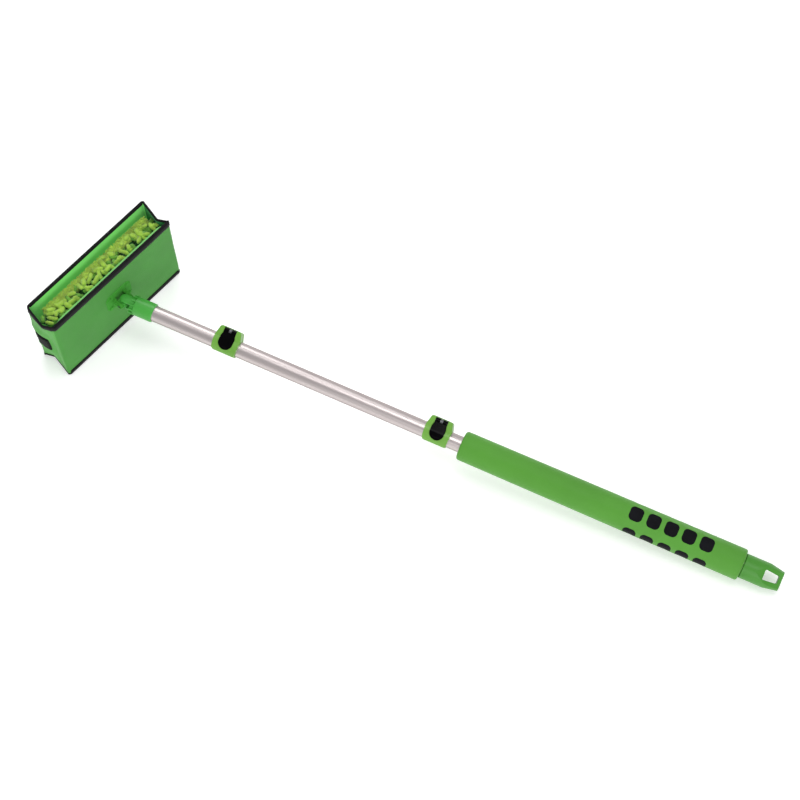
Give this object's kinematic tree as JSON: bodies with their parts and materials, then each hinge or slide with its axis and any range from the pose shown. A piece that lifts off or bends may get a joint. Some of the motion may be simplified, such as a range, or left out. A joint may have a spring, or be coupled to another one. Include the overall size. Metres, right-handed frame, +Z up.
{
  "type": "window cleaning pole",
  "caption": "Window cleaning pole: flat chenille head in a fabric pouch on a universal joint, sectional aluminium pole with lever couplers, foam grip and hanging cap.",
  "frame": {"origin": "centre of the bounding box, on the floor plane that the pouch and the grip rest on", "axes": "+Z up, +X out of the pouch front towards the handle, +Y along the pouch"},
  "size_m": [0.9782, 0.402, 0.134],
  "materials": {
    "pouch_fabric": "woven nylon, green",
    "binding_black": "black folded binding tape",
    "tab_black": "black hook-and-loop strap",
    "holder_green": "moulded plastic, green",
    "socket_green": "moulded plastic, green",
    "hook_black": "hook tape",
    "chenille": "chenille microfibre, yellow green",
    "short_pile": "short microfibre pile, olive",
    "pad_cloth": "pad backing cloth",
    "tube_aluminium": "anodised satin tube",
    "steel": "zinc plated",
    "rivet_aluminium": "aluminium rivet",
    "rivet_green": "green plastic-capped rivets",
    "collar_green": "moulded plastic, green",
    "lever_black": "black moulded plastic",
    "spigot_grey": "dark grey nylon",
    "foam_green": "closed-cell foam, green",
    "pad_rubber": "black rubber",
    "cap_green": "moulded plastic, green"
  },
  "bodies": {
    "head": {"bag_back_panel": "pouch_fabric", "bag_base_binding": "binding_black", "bag_bottom_panel": "pouch_fabric", "bag_front_panel": "pouch_fabric", "bag_left_gusset": "pouch_fabric", "bag_left_tab": "tab_black", "bag_right_gusset": "pouch_fabric", "bag_rim_binding": "binding_black", "holder_plate": "holder_green", "hook_strips": "hook_black", "pad_backing": "pad_cloth", "chenille_pile": "chenille", "short_pile": "short_pile", "joint_base": "socket_green", "tilt_pin": "steel", "joint_rivets": "rivet_green"},
    "knuckle": {"joint_knuckle": "socket_green"},
    "neck": {"neck_socket": "socket_green", "socket_rivet": "rivet_aluminium", "neck_tube": "tube_aluminium", "coupler_collar_1": "collar_green", "lever_pin_1": "steel", "clamp_bolt_1": "steel", "clamp_nut_1": "steel", "tube_spigot_1": "spigot_grey", "spigot_rivet_1": "rivet_aluminium"},
    "lever_1": {"coupler_lever_1": "lever_black"},
    "extension": {"extension_tube": "tube_aluminium", "coupler_collar_2": "collar_green", "lever_pin_2": "steel", "clamp_bolt_2": "steel", "clamp_nut_2": "steel", "tube_spigot_2": "spigot_grey", "spigot_rivet_2": "rivet_aluminium"},
    "lever_2": {"coupler_lever_2": "lever_black"},
    "handle": {"handle_tube": "tube_aluminium", "grip_sleeve": "foam_green", "grip_pads": "pad_rubber", "end_cap": "cap_green"}
  },
  "joints": [
    {"name": "head_tilt", "type": "hinge", "parent": "head", "child": "knuckle", "pos_m": [-0.42277, -0.0892, 0.0768], "axis": [0, 1, 0], "range_deg": [-48.7, 41.3]},
    {"name": "head_swivel", "type": "hinge", "parent": "knuckle", "child": "neck", "pos_m": [-0.42277, -0.0892, 0.0768], "axis": [0.0646, 0, 0.9979], "range_deg": [-46.97, 13.03]},
    {"name": "lever_1_flip", "type": "hinge", "parent": "neck", "child": "lever_1", "pos_m": [-0.27837, -0.03242, 0.08314], "axis": [-0.9545, -0.2918, 0.0618], "range_deg": [0, 110]},
    {"name": "section_1_pull", "type": "slide", "parent": "neck", "child": "extension", "axis": [0.9545, 0.2918, -0.0618], "range_m": [0, 0.056]},
    {"name": "lever_2_flip", "type": "hinge", "parent": "extension", "child": "lever_2", "pos_m": [0.01809, 0.05822, 0.06395], "axis": [-0.9545, -0.2918, 0.0618], "range_deg": [0, 110]},
    {"name": "section_2_pull", "type": "slide", "parent": "extension", "child": "handle", "axis": [0.9545, 0.2918, -0.0618], "range_m": [0, 0.056]}
  ]
}
